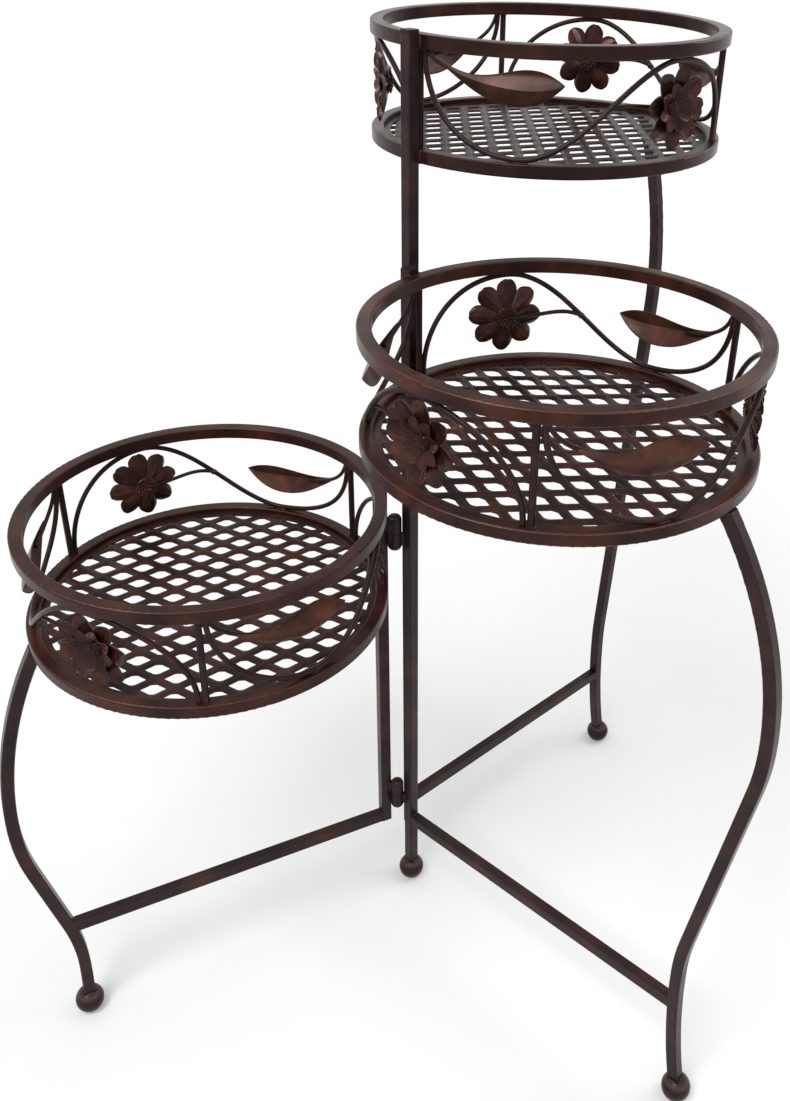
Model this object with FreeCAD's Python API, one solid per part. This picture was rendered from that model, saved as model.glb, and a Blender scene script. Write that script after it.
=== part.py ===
"""Folding plant stand: three wings of square steel tube hinged side by side, each with a round tray."""
import FreeCAD
import Part

import math
import os
from dataclasses import dataclass

Vector = FreeCAD.Vector
Rotation = FreeCAD.Rotation
ORIGIN = Vector(0, 0, 0)
SIDE = Vector(0, 1, 0)
UP = Vector(0, 0, 1)

# Square tube of the frame and of the tray rings
TUBE = 10.0
TUBE_WALL = 1.0
TUBE_CORNER = 1.2
WELD_GAP = 0.1           # between a ring and the tube that it is welded to

# Trays
RING_RADIUS = 140.0      # outside of both rings
TRAY_HEIGHT = 90.0       # underside of the lower ring to the top of the upper ring
FLOOR_SHEET = 1.5
FLOOR_DROP = 4.0         # top of the lower ring to the top of the floor
FLOOR_BORDER = 5.0       # plain band around the lattice
FLOOR_FIT = 0.1          # floor to ring
LATTICE_PITCH = 19.0
LATTICE_HOLE = 11.5      # side of a diamond hole
LATTICE_ANGLE = 72.0     # between the two rows of bars

# Ornament in the tray wall: each tray has equal motifs, from one rod to the next
MOTIFS = 3
MOTIF_START = 180.0      # first rod, from the wing's own direction, so that it stands by the upright
ROD_DIAMETER = 5.0
VINE_DIAMETER = 4.0
VINE_SEAT = 0.15         # flat that the vine's crest is given where it meets a ring
VINE_END = 0.018         # share of a motif between a rod and the vine's end
VINE_CREST = 0.29        # share of a motif from a rod to the vine's crest
VINE_KNOTS = 10
STEM_DIAMETER = 3.2
STEM_FIT = 0.02          # stem to the petal or leaf that it carries
FLOWER_PLACE = 0.28      # share of a motif
FLOWER_INSET = 12.0      # outside of the rings to a flower's back
FLOWER_MARGIN = 5.0      # flower to each ring
PETALS = 8
PETAL_WIDTH = 19.0
PETAL_SHEET = 1.0
CUP_RADIUS = 60.0        # curvature of the outer petals
HEART_DIAMETER = 35.0
HEART_PETAL_WIDTH = 12.0
HEART_CUP_RADIUS = 30.0
SEED_DIAMETER = 10.0
LEAF_TIP = 0.605         # shares of a motif
LEAF_BASE = 0.915
LEAF_WIDTH = 29.0
LEAF_SHEET = 1.2
LEAF_INSET = 3.0         # outside of the rings to a leaf's ridge
LEAF_FOLD = 5.0          # height of the ridge over the leaf's edges

# Legs, crossbars, feet and plugs
BAR_HEIGHT = 105.0       # underside of the crossbars
LEG_BEND = 220.0         # radius of a leg's axis below its bow and above its waist
LEG_FLARE = 650.0        # radius of a leg's axis from its waist to its foot
FOOT_DIAMETER = 25.0
FOOT_FLAT = 1.0          # cut off the ball where it stands
FOOT_SEAT = 9.0          # bottom of the socket above the ground
FOOT_FIT = 0.1
PLUG_HEAD = 3.0
PLUG_DEPTH = 9.0
PLUG_FIT = 0.1

# Bullet hinges
BARREL_DIAMETER = 12.0
BARREL_LENGTH = 34.0
BARREL_DOME = 4.5
BARREL_GAP = 0.4         # barrel to the tube that turns past it
KNUCKLE_GAP = 0.3
PIN_DIAMETER = 6.0
PIN_PRESS = 0.01         # pin to the knuckle that holds it
PIN_RUN = 0.05           # pin to the knuckle that turns on it
PIN_DEPTH = 12.0         # length of pin in each knuckle
PIN_END = 0.5
WELD_WIDTH = 4.0
WELD_INSET = 1.0
TUBE_FIT = 0.02
HINGE_LOW = 142.0        # height of the lower hinge of each pair
HINGE_DROP = 60.0        # tray top of the hinged wing to its upper hinge


@dataclass(frozen=True)
class Wing:
    """One wing: its direction, the top of its tray, its leg's bow and waist, and how its ornament sits."""
    name: str
    direction: float
    tray_top: float
    bow_reach: float
    bow_height: float
    waist_reach: float
    waist_height: float
    lattice_turn: float
    motif_turn: float
    leaf_rises: tuple


UPPER = Wing("upper", 41.0, 832.0, 319.0, 575.0, 284.0, 165.0, 12.0, 0.0, (0.5, 0.68, 0.53))
MIDDLE = Wing("middle", -44.0, 668.0, 338.0, 405.0, 302.0, 150.0, 10.0, 0.0, (0.5, 0.51, 0.58))
LOWER = Wing("lower", -156.0, 500.0, 324.0, 240.0, 293.0, 62.0, -21.0, 13.0, (0.58, 0.46, 0.5))

# Worked out from the driving dimensions
TRAY_REACH = TUBE / 2 + WELD_GAP + RING_RADIUS
RING_MIDDLE = RING_RADIUS - TUBE / 2
LEG_TOP = TRAY_REACH + RING_MIDDLE
WALL_OPEN = TRAY_HEIGHT - 2 * TUBE
FLOWER_BACK = RING_RADIUS - FLOWER_INSET
FLOWER_DIAMETER = WALL_OPEN - 2 * FLOWER_MARGIN
LEAF_RIDGE = RING_RADIUS - LEAF_INSET
MOTIF_ANGLE = 360.0 / MOTIFS
CORNER_REACH = TUBE * math.sqrt(0.5) - TUBE_CORNER * (math.sqrt(2) - 1)
HINGE_OFFSET = (CORNER_REACH + BARREL_GAP + BARREL_DIAMETER / 2) * math.sqrt(0.5)


def turned(x, y, degrees):
    """Point (x, y) turned about the vertical axis."""
    return Rotation(UP, degrees).multVec(Vector(x, y, 0))


# Each wing is hinged at the back corners of its tube, so the tubes follow each other in a chain.
UPPER_AXIS = ORIGIN
MIDDLE_HINGE = UPPER_AXIS + turned(-HINGE_OFFSET, -HINGE_OFFSET, UPPER.direction)
MIDDLE_AXIS = MIDDLE_HINGE - turned(-HINGE_OFFSET, HINGE_OFFSET, MIDDLE.direction)
LOWER_HINGE = MIDDLE_AXIS + turned(-HINGE_OFFSET, -HINGE_OFFSET, MIDDLE.direction)
LOWER_AXIS = LOWER_HINGE - turned(-HINGE_OFFSET, HINGE_OFFSET, LOWER.direction)


def square_wire(side, corner):
    """Rounded square around the origin, flat in XY."""
    half = side / 2
    flat = half - corner
    bend = flat + corner * math.sqrt(0.5)
    edges = []
    for quarter in range(4):
        turn = Rotation(UP, 90.0 * quarter)
        start, end, middle, last = (
            turn.multVec(Vector(x, y, 0))
            for x, y in ((half, -flat), (half, flat), (bend, bend), (flat, half))
        )
        edges.append(Part.LineSegment(start, end).toShape())
        edges.append(Part.Arc(end, middle, last).toShape())
    return Part.Wire(edges)


def outer_wire(grow=0.0):
    """Outside of the square tube, or that outside grown by a clearance."""
    return square_wire(TUBE + 2 * grow, TUBE_CORNER + grow)


def inner_wire(shrink=0.0):
    """Inside of the square tube, or that inside less a clearance."""
    side = TUBE - 2 * (TUBE_WALL + shrink)
    return square_wire(side, max(TUBE_CORNER - TUBE_WALL, side / 40))


def prism(wire, bottom, top):
    """Upright solid of a flat outline."""
    face = Part.Face(wire)
    face.translate(Vector(0, 0, bottom))
    return face.extrude(Vector(0, 0, top - bottom))


def upright_tube(bottom, top):
    """Hollow square tube on the vertical axis."""
    return prism(outer_wire(), bottom, top).cut(prism(inner_wire(), bottom, top))


def sweep(profile, path, side=None):
    """Solid of a closed profile carried along a path."""
    pipe = Part.BRepOffsetAPI.MakePipeShell(path)
    if side is not None:
        pipe.setBiNormalMode(side)
    pipe.add(profile)
    pipe.build()
    pipe.makeSolid()
    return pipe.shape()


def arc(start, corner, end):
    """Edge of the arc from start to end whose end tangents meet at the corner."""
    middle = (start + end) * 0.5
    height = (corner - middle).Length
    half = (end - start).Length / 2
    if height < 1e-6 * half:
        return Part.LineSegment(start, end).toShape()
    sagitta = half * math.tan(math.atan2(height, half) / 2)
    return Part.Arc(start, middle + (corner - middle) * (sagitta / height), end).toShape()


def biarc(start, start_way, end, end_way):
    """Two arcs that leave start and reach end along the given unit directions."""
    chord = end - start
    along = chord.dot(start_way + end_way)
    bend = 2 * (1 - start_way.dot(end_way))
    square = chord.dot(chord)
    if bend < 1e-9:
        reach = square / (2 * along)
    else:
        reach = (math.sqrt(along * along + bend * square) - along) / bend
    first = start + start_way * reach
    second = end - end_way * reach
    joint = (first + second) * 0.5
    return [arc(start, first, joint), arc(joint, second, end)]


def round_wire(path, diameter):
    """Round wire along the path's edges."""
    wire = Part.Wire(path)
    edge = wire.OrderedEdges[0]
    start = wire.OrderedVertexes[0].Point
    way = edge.tangentAt(edge.getParameterByLength(0.0))
    profile = Part.Wire(Part.Circle(start, way, diameter / 2).toShape())
    return sweep(profile, wire)


def tray_bottom(wing):
    """Underside of a wing's tray."""
    return wing.tray_top - TRAY_HEIGHT


def wall_bottom(wing):
    """Top of the lower ring, where the ornament starts."""
    return tray_bottom(wing) + TUBE


def wall_point(wing, share, rise, radius=RING_MIDDLE):
    """Point of the first motif: share runs from rod to rod, rise from ring to ring."""
    angle = math.radians(MOTIF_START - MOTIF_ANGLE * share)
    height = wall_bottom(wing) + WALL_OPEN * rise
    return Vector(TRAY_REACH + radius * math.cos(angle), radius * math.sin(angle), height)


def wall_way(share):
    """Level direction along the tray wall, from rod to rod."""
    angle = math.radians(MOTIF_START - MOTIF_ANGLE * share)
    return Vector(math.sin(angle), -math.cos(angle), 0)


def wall_out(share):
    """Direction out of the tray at a share of the first motif."""
    return wall_way(share).cross(UP).normalize() * -1


def at_motif(shape, wing, index):
    """Solids of a first motif's piece, turned to another motif of the tray."""
    copy = shape.copy()
    copy.rotate(Vector(TRAY_REACH, 0, 0), UP, wing.motif_turn + index * MOTIF_ANGLE)
    return copy.Solids


def around(shape, wing):
    """Copies of a motif's piece at every motif of the tray."""
    copies = [at_motif(shape, wing, index) for index in range(MOTIFS)]
    return Part.makeCompound(sum(copies, []))


def leaf_rise(wing, index):
    """Height of a motif's leaf as a share of the open wall."""
    return wing.leaf_rises[index % len(wing.leaf_rises)]


def ring(bottom):
    """Ring of hollow square tube around the tray's axis."""
    face = Part.Face(outer_wire()).cut(Part.Face(inner_wire())).Faces[0]
    face.rotate(ORIGIN, Vector(1, 0, 0), 90)
    face.translate(Vector(RING_MIDDLE, 0, bottom + TUBE / 2))
    solid = face.revolve(ORIGIN, UP, 360)
    solid.translate(Vector(TRAY_REACH, 0, 0))
    return solid


def diamond(centre, along, across):
    """Outline of one hole from its two half edges."""
    near = centre - across
    far = centre + across
    corners = [near - along, near + along, far + along, far - along]
    return Part.makePolygon(corners + corners[:1])


def tray_floor(wing):
    """Sheet floor with diamond holes, held inside the lower ring."""
    radius = RING_RADIUS - TUBE - FLOOR_FIT
    first = turned(1, 0, wing.lattice_turn + LATTICE_ANGLE / 2)
    second = turned(1, 0, wing.lattice_turn - LATTICE_ANGLE / 2)
    count = int(2 * radius / LATTICE_PITCH)
    outlines = [Part.Wire(Part.makeCircle(radius))]
    for row in range(-count, count + 1):
        for column in range(-count, count + 1):
            centre = (first * row + second * column) * LATTICE_PITCH
            hole = diamond(centre, first * (LATTICE_HOLE / 2), second * (LATTICE_HOLE / 2))
            if max(v.Point.Length for v in hole.Vertexes) < radius - FLOOR_BORDER:
                outlines.append(hole)
    sheet = Part.makeFace(outlines, "Part::FaceMakerBullseye").extrude(Vector(0, 0, FLOOR_SHEET))
    sheet.translate(Vector(TRAY_REACH, 0, wall_bottom(wing) - FLOOR_DROP - FLOOR_SHEET))
    return sheet


def rods(wing):
    """Plain upright rods between the rings."""
    return around(Part.makeCylinder(ROD_DIAMETER / 2, WALL_OPEN, wall_point(wing, 0, 0)), wing)


def vine_curve(step):
    """Share and rise of the vine: a quarter ellipse, half a wave, and the same ellipse turned about."""
    lead = 0.3
    if step > 1 - lead:
        share, rise = vine_curve(1 - step)
        return 1 - share, 1 - rise
    if step < lead:
        angle = math.pi / 2 * step / lead
        return VINE_CREST - (VINE_CREST - VINE_END) * math.cos(angle), math.sin(angle)
    wave = (step - lead) / (1 - 2 * lead)
    return VINE_CREST + (1 - 2 * VINE_CREST) * wave, 0.5 + 0.5 * math.cos(math.pi * wave)


def vine_point(wing, step):
    """Point of the vine's axis, which stays one wire radius from each ring."""
    share, rise = vine_curve(step)
    inset = (VINE_DIAMETER / 2 - VINE_SEAT) / WALL_OPEN
    return wall_point(wing, share, inset + (1 - 2 * inset) * rise)


def vine_way(wing, step):
    """Unit direction of the vine, level at its crest and upright at its ends."""
    nudge = 1e-4
    before = vine_point(wing, max(step - nudge, 0))
    after = vine_point(wing, min(step + nudge, 1))
    return (after - before).normalize()


def one_vine(wing):
    """Waved wire of the first motif, cut level with the rings."""
    steps = [knot / VINE_KNOTS for knot in range(VINE_KNOTS + 1)]
    start = vine_point(wing, 0)
    end = vine_point(wing, 1)
    path = [Part.LineSegment(start - UP * VINE_DIAMETER, start).toShape()]
    for first, second in zip(steps, steps[1:]):
        path += biarc(
            vine_point(wing, first),
            UP if first == 0 else vine_way(wing, first),
            vine_point(wing, second),
            UP if second == 1 else vine_way(wing, second),
        )
    path.append(Part.LineSegment(end, end + UP * VINE_DIAMETER).toShape())
    slab = Part.makeCylinder(RING_RADIUS + TUBE, WALL_OPEN, Vector(TRAY_REACH, 0, wall_bottom(wing)))
    return round_wire(path, VINE_DIAMETER).common(slab).Solids[0]


def cupped_petals(diameter, width, cup_radius, turn):
    """Round petals in a ring, pressed from one sheet into a cup that opens along +Z."""
    reach = (diameter - width) / 2
    blank = Part.makeCylinder(reach, cup_radius)
    for index in range(PETALS):
        place = turned(reach, 0, turn + index * 360.0 / PETALS)
        blank = blank.fuse(Part.makeCylinder(width / 2, cup_radius, place))
    centre = Vector(0, 0, cup_radius)
    shell = Part.makeSphere(cup_radius, centre).cut(Part.makeSphere(cup_radius - PETAL_SHEET, centre))
    return blank.removeSplitter().common(shell).Solids[0]


def facing_out(shape, wing):
    """Flower piece moved from the origin to its place in the first motif."""
    shape.Placement = FreeCAD.Placement(
        wall_point(wing, FLOWER_PLACE, 0.5, FLOWER_BACK), Rotation(UP, wall_out(FLOWER_PLACE))
    )
    return shape


def petals(wing):
    """Outer petals of the flowers."""
    return around(facing_out(cupped_petals(FLOWER_DIAMETER, PETAL_WIDTH, CUP_RADIUS, 0), wing), wing)


def hearts(wing):
    """Inner petals of the flowers, each with its domed seed head."""
    cup = cupped_petals(HEART_DIAMETER, HEART_PETAL_WIDTH, HEART_CUP_RADIUS, 180.0 / PETALS)
    dome = Part.makeSphere(SEED_DIAMETER / 2, Vector(0, 0, PETAL_SHEET))
    dome = dome.common(Part.makeSphere(HEART_CUP_RADIUS, Vector(0, 0, HEART_CUP_RADIUS)))
    heart = cup.fuse(dome)
    heart.translate(Vector(0, 0, PETAL_SHEET))
    heart = Part.makeCompound(heart.Solids)
    return around(facing_out(heart, wing), wing)


def leaves(wing):
    """Pointed leaves folded along a ridge that follows the tray wall."""
    half = LEAF_WIDTH / 2
    inner = LEAF_SHEET / math.cos(math.atan2(LEAF_FOLD, half))
    ridge = LEAF_RIDGE
    edge = LEAF_RIDGE - LEAF_FOLD
    upper_half = [(ridge, 0), (edge, half), (edge - inner, half)]
    lower_half = [(ridge - inner, 0), (edge - inner, -half), (edge, -half)]
    outline = upper_half + lower_half
    corners = [Vector(radius, 0, height) for radius, height in outline]
    section = Part.Face(Part.makePolygon(corners + corners[:1]))
    span = MOTIF_ANGLE * (LEAF_BASE - LEAF_TIP)
    band = section.revolve(ORIGIN, UP, 1.2 * span)
    reach = LEAF_RIDGE * math.sin(math.radians(span / 2))
    blade = [Vector(0, -reach, 0), Vector(0, 0, half), Vector(0, reach, 0), Vector(0, 0, -half)]
    edges = [Part.Arc(*blade[:3]).toShape(), Part.Arc(blade[2], blade[3], blade[0]).toShape()]
    cutter = Part.Face(Part.Wire(edges)).extrude(Vector(RING_RADIUS + TUBE, 0, 0))
    band.rotate(ORIGIN, UP, -0.6 * span)
    leaf = band.common(cutter)
    middle = (LEAF_TIP + LEAF_BASE) / 2
    leaf.rotate(ORIGIN, UP, MOTIF_START - MOTIF_ANGLE * middle)
    pieces = []
    for index in range(MOTIFS):
        raised = leaf.copy()
        raised.translate(Vector(TRAY_REACH, 0, wall_bottom(wing) + WALL_OPEN * leaf_rise(wing, index)))
        pieces += at_motif(raised, wing, index)
    return Part.makeCompound(pieces)


def level_wire(wing, rise, start, end):
    """Wire at one height between two (share, radius) places of the first motif."""
    points = [wall_point(wing, share, rise, radius) for share, radius in (start, end)]
    return round_wire(biarc(points[0], wall_way(start[0]), points[1], wall_way(end[0])), STEM_DIAMETER)


def stems(wing):
    """Short wires that carry the flowers and leaves, welded to the vine."""
    vine = one_vine(wing)
    back = FLOWER_BACK - STEM_DIAMETER / 2 - STEM_FIT
    flower_stem = level_wire(wing, 0.5, (FLOWER_PLACE, back), (0.5, RING_MIDDLE))
    slope = math.atan2(LEAF_FOLD, LEAF_WIDTH / 2)
    groove = LEAF_RIDGE - (LEAF_SHEET + STEM_DIAMETER / 2 + STEM_FIT) / math.cos(slope)
    stalk_start = LEAF_BASE - 0.2 * (LEAF_BASE - LEAF_TIP)
    pieces = []
    for index in range(MOTIFS):
        rise = leaf_rise(wing, index)
        joint = 1 - VINE_CREST + (VINE_CREST - VINE_END) * math.sqrt(1 - (1 - rise) ** 2)
        leaf_stalk = level_wire(wing, rise, (stalk_start, groove), (joint, groove))
        for wire in (flower_stem, leaf_stalk):
            pieces += at_motif(longest(wire.cut(vine)), wing, index)
    return Part.makeCompound(pieces)


def longest(shape):
    """Largest solid of a cut piece."""
    return max(shape.Solids, key=lambda solid: solid.Volume)


def bend_edge(centre, radius, start, end):
    """Arc in the wing's plane between two angles about its centre."""
    angles = (start, (start + end) / 2, end)
    return Part.Arc(*(centre + Vector(math.cos(a), 0, math.sin(a)) * radius for a in angles)).toShape()


def flare_centre(wing):
    """Centre of the curve that a leg follows from its waist to its foot."""
    return Vector(wing.waist_reach + LEG_FLARE, 0, wing.waist_height)


def leg_path(wing):
    """Leg's axis in the wing's plane: out to the bow, in to the waist and out again to the foot."""
    drop = tray_bottom(wing) - wing.bow_height
    out = wing.bow_reach - LEG_TOP
    shoulder = (out * out + drop * drop) / (2 * out)
    draw = wing.bow_reach - wing.waist_reach
    fall = wing.bow_height - wing.waist_height
    bend = min(LEG_BEND, 0.45 * (draw * draw + fall * fall) / (2 * draw))
    span = 2 * bend - draw
    lean = math.atan2(fall, span) - math.acos(2 * bend / math.hypot(fall, span))
    shoulder_centre = Vector(wing.bow_reach - shoulder, 0, wing.bow_height)
    bow_centre = Vector(wing.bow_reach - bend, 0, wing.bow_height)
    waist_centre = Vector(wing.waist_reach + bend, 0, wing.waist_height)
    slope = Vector(math.cos(lean), 0, -math.sin(lean)) * bend
    foot_turn = math.asin((wing.waist_height - FOOT_SEAT) / LEG_FLARE)
    return Part.Wire([
        bend_edge(shoulder_centre, shoulder, math.asin(drop / shoulder) + TUBE / shoulder, 0),
        bend_edge(bow_centre, bend, 0, -lean),
        Part.LineSegment(bow_centre + slope, waist_centre - slope).toShape(),
        bend_edge(waist_centre, bend, math.pi - lean, math.pi),
        bend_edge(flare_centre(wing), LEG_FLARE, math.pi, math.pi + foot_turn),
    ])


def leg_core(wing, profile):
    """Solid of a tube profile along the leg's axis."""
    path = leg_path(wing)
    way = path.OrderedEdges[0].tangentAt(path.OrderedEdges[0].FirstParameter)
    profile.rotate(ORIGIN, SIDE, math.degrees(math.atan2(way.x, way.z)))
    profile.translate(path.OrderedVertexes[0].Point)
    return sweep(profile, path, SIDE)


def leg(wing):
    """Bowed square tube from under the tray into its foot."""
    tube = leg_core(wing, outer_wire()).cut(leg_core(wing, inner_wire()))
    size = 4 * TUBE
    over = Part.makeBox(size, size, size, Vector(LEG_TOP - size / 2, -size / 2, tray_bottom(wing)))
    return longest(tube.cut(over))


def crossbar(wing):
    """Level tube between the upright and the leg, mitred to the leg's slope."""
    bar = upright_tube(TUBE / 2, wing.bow_reach)
    bar.rotate(ORIGIN, SIDE, 90)
    bar.translate(Vector(0, 0, BAR_HEIGHT + TUBE / 2))
    pieces = bar.cut(leg_core(wing, outer_wire())).Solids
    return min(pieces, key=lambda piece: piece.BoundBox.XMin)


def foot(reach, socket):
    """Ball foot, flat where it stands, with a socket for the end of a tube."""
    radius = FOOT_DIAMETER / 2
    ball = Part.makeSphere(radius, Vector(reach, 0, radius - FOOT_FLAT))
    size = 4 * radius
    ball = ball.common(Part.makeBox(size, size, size, Vector(reach - size / 2, -size / 2, 0)))
    return longest(ball.cut(socket))


def leg_foot(wing):
    """Foot on the end of a wing's leg."""
    rise = wing.waist_height - FOOT_DIAMETER / 2 + FOOT_FLAT
    reach = flare_centre(wing).x - math.sqrt(LEG_FLARE * LEG_FLARE - rise * rise)
    return foot(reach, leg_core(wing, outer_wire(FOOT_FIT)))


def plug(top):
    """Cap with a stem that closes the top of an upright."""
    head = prism(outer_wire(), top, top + PLUG_HEAD)
    return head.fuse(prism(inner_wire(PLUG_FIT), top - PLUG_DEPTH, top))


def tray_nodes(wing):
    """Pieces of one tray in the wing's own frame."""
    return {
        "top_ring": ring(wing.tray_top - TUBE),
        "bottom_ring": ring(tray_bottom(wing)),
        "floor": tray_floor(wing),
        "rods": rods(wing),
        "vines": around(one_vine(wing), wing),
        "petals": petals(wing),
        "flower_hearts": hearts(wing),
        "stems": stems(wing),
        "leaves": leaves(wing),
    }


def frame_nodes(wing):
    """Upright, leg, crossbar, foot and plug of one wing in its own frame."""
    foots_on_ground = wing is UPPER
    bottom = FOOT_SEAT if foots_on_ground else BAR_HEIGHT
    nodes = {
        "upright": upright_tube(bottom, wing.tray_top),
        "upright_plug": plug(wing.tray_top),
        "leg": leg(wing),
        "leg_foot": leg_foot(wing),
        "crossbar": crossbar(wing),
    }
    if foots_on_ground:
        nodes["upright_foot"] = foot(0, prism(outer_wire(FOOT_FIT), FOOT_SEAT, 2 * FOOT_DIAMETER))
    return nodes


def barrel_half():
    """Solid half of a hinge barrel with its domed end down and its flat end at z = 0."""
    radius = BARREL_DIAMETER / 2
    length = (BARREL_LENGTH - KNUCKLE_GAP) / 2
    lean = BARREL_DOME * math.sqrt(0.5)
    flat = radius - BARREL_DOME
    shoulder = BARREL_DOME - length
    edges = [
        Part.LineSegment(ORIGIN, Vector(0, 0, -length)).toShape(),
        Part.LineSegment(Vector(0, 0, -length), Vector(flat, 0, -length)).toShape(),
        Part.Arc(
            Vector(flat, 0, -length), Vector(flat + lean, 0, shoulder - lean), Vector(radius, 0, shoulder)
        ).toShape(),
        Part.LineSegment(Vector(radius, 0, shoulder), Vector(radius, 0, 0)).toShape(),
        Part.LineSegment(Vector(radius, 0, 0), ORIGIN).toShape(),
    ]
    return Part.Face(Part.Wire(edges)).revolve(ORIGIN, UP, 360)


def knuckle(hinge, tube_axis, direction, height, is_top):
    """Half barrel with its weld to one tube and a blind bore for the pin."""
    half = barrel_half()
    clearance = PIN_PRESS
    floor = PIN_DEPTH
    if is_top:
        half.rotate(ORIGIN, SIDE, 180)
        clearance = PIN_RUN
        floor = PIN_DEPTH + PIN_END
    towards = tube_axis - hinge
    length = (BARREL_LENGTH - KNUCKLE_GAP) / 2 - BARREL_DOME - WELD_INSET
    start = WELD_INSET if is_top else -WELD_INSET - length
    weld = Part.makeBox(towards.Length, WELD_WIDTH, length, Vector(0, -WELD_WIDTH / 2, start))
    weld.rotate(ORIGIN, UP, math.degrees(math.atan2(towards.y, towards.x)))
    tube = prism(outer_wire(TUBE_FIT), -BARREL_LENGTH, BARREL_LENGTH)
    tube.rotate(ORIGIN, UP, direction)
    tube.translate(towards)
    bore_bottom = 0 if is_top else -floor
    bore = Part.makeCylinder(PIN_DIAMETER / 2 + clearance, floor, Vector(0, 0, bore_bottom))
    solid = longest(half.fuse(weld).cut(tube).cut(bore))
    lift = KNUCKLE_GAP / 2 if is_top else -KNUCKLE_GAP / 2
    solid.translate(hinge + Vector(0, 0, height + lift))
    return solid


def hinge_nodes(hinge, lower_side, upper_side, wing):
    """Both hinges of one fold: knuckles below, knuckles on top and the pins between."""
    heights = (HINGE_LOW, wing.tray_top - HINGE_DROP)
    pin_length = 2 * PIN_DEPTH + KNUCKLE_GAP
    pins = [
        Part.makeCylinder(PIN_DIAMETER / 2, pin_length, hinge + Vector(0, 0, height - pin_length / 2))
        for height in heights
    ]
    return {
        "hinge_base_knuckles": Part.makeCompound([knuckle(hinge, *lower_side, z, False) for z in heights]),
        "hinge_top_knuckles": Part.makeCompound([knuckle(hinge, *upper_side, z, True) for z in heights]),
        "hinge_pins": Part.makeCompound(pins),
    }


def export(name, shape):
    """Write one node."""
    if not shape.isValid():
        raise ValueError("%s is not a valid solid" % name)
    shape.exportStep("parts/%s.step" % name)


def main():
    """Build every wing in its place and both folds."""
    os.makedirs("parts", exist_ok=True)
    sides = {
        UPPER: (UPPER_AXIS, UPPER.direction),
        MIDDLE: (MIDDLE_AXIS, MIDDLE.direction),
        LOWER: (LOWER_AXIS, LOWER.direction),
    }
    for wing, (axis, direction) in sides.items():
        for node, shape in {**frame_nodes(wing), **tray_nodes(wing)}.items():
            shape.rotate(ORIGIN, UP, direction)
            shape.translate(axis)
            export("%s_%s" % (wing.name, node), shape)
    folds = ((MIDDLE_HINGE, UPPER, MIDDLE), (LOWER_HINGE, MIDDLE, LOWER))
    for hinge, lower_side, wing in folds:
        for node, shape in hinge_nodes(hinge, sides[lower_side], sides[wing], wing).items():
            export("%s_%s" % (wing.name, node), shape)


main()
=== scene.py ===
"""Looks of a folding plant stand: pressed flowers and leaves, lattice floors, welds and rubbed paint."""

import logging
import math
from dataclasses import dataclass, field, replace
from enum import Enum
from typing import Callable

import bmesh
import bpy
from mathutils import Matrix, Vector


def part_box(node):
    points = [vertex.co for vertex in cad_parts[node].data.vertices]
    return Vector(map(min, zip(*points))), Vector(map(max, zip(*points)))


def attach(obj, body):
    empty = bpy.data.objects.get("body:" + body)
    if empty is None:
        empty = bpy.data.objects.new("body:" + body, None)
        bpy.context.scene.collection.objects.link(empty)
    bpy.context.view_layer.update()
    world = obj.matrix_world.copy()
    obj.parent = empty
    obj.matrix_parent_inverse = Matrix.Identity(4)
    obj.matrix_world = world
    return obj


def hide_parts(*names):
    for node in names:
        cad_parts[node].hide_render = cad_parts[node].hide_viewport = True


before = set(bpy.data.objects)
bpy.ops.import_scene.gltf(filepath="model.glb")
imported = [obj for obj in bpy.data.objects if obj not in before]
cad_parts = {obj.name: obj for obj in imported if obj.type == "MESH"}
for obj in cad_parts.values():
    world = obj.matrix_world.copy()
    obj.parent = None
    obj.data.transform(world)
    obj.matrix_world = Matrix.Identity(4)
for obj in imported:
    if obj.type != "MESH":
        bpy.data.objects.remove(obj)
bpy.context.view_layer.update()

LOG = logging.getLogger("plant_stand")
MM = 0.001
ORIGIN = (0, 0, 0)
MERGE_GAP = 0.001 * MM
SMOOTH_ANGLE = 40

# Sizes that the frame gives, in metres
TUBE = 10 * MM
RING_MIDDLE = 135 * MM
TRAY_REACH = 145.1 * MM
TRAY_HEIGHT = 90 * MM
WALL_OPEN = 70 * MM
BAR_MIDDLE = 110 * MM
MOTIFS = 3
MOTIF_ANGLE = 360.0 / MOTIFS
MOTIF_START = 180.0
VINE_CREST = 0.29
VINE_FOOT = 0.71

Pair = tuple[float, float]
Triple = tuple[float, float, float]
Station = tuple[float, float, float, float]
Bead = tuple[Matrix, Triple]


class Slot(Enum):
    """Finishes that the record names for the new pieces."""

    FRAME = "frame"
    WIRE = "wire"
    PRESSED = "pressed_ornament"
    LATTICE = "lattice_floor"


def linear(code: str) -> tuple[float, float, float, float]:
    """Turns an sRGB hex colour to linear.

    Args:
        code: Six hex digits after a hash sign.

    Returns:
        Linear red, green and blue, and full alpha.
    """
    shares = [int(code[i:i + 2], 16) / 255 for i in (1, 3, 5)]
    light = [s / 12.92 if s <= 0.04045 else ((s + 0.055) / 1.055) ** 2.4 for s in shares]
    return (*light, 1.0)


def add_node(tree: bpy.types.NodeTree, kind: str, links: dict, **settings: object) -> bpy.types.Node:
    """Adds a node with its settings and its inputs.

    Args:
        tree: Node tree of the material or world.
        kind: Type name of the node.
        links: Input names or numbers with the socket or the constant that each takes.
        settings: Properties of the node itself.

    Returns:
        The new node.
    """
    node = tree.nodes.new(kind)
    for name, value in settings.items():
        setattr(node, name, value)
    for name, value in links.items():
        if isinstance(value, bpy.types.NodeSocket):
            tree.links.new(value, node.inputs[name])
        else:
            node.inputs[name].default_value = value
    return node


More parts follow.
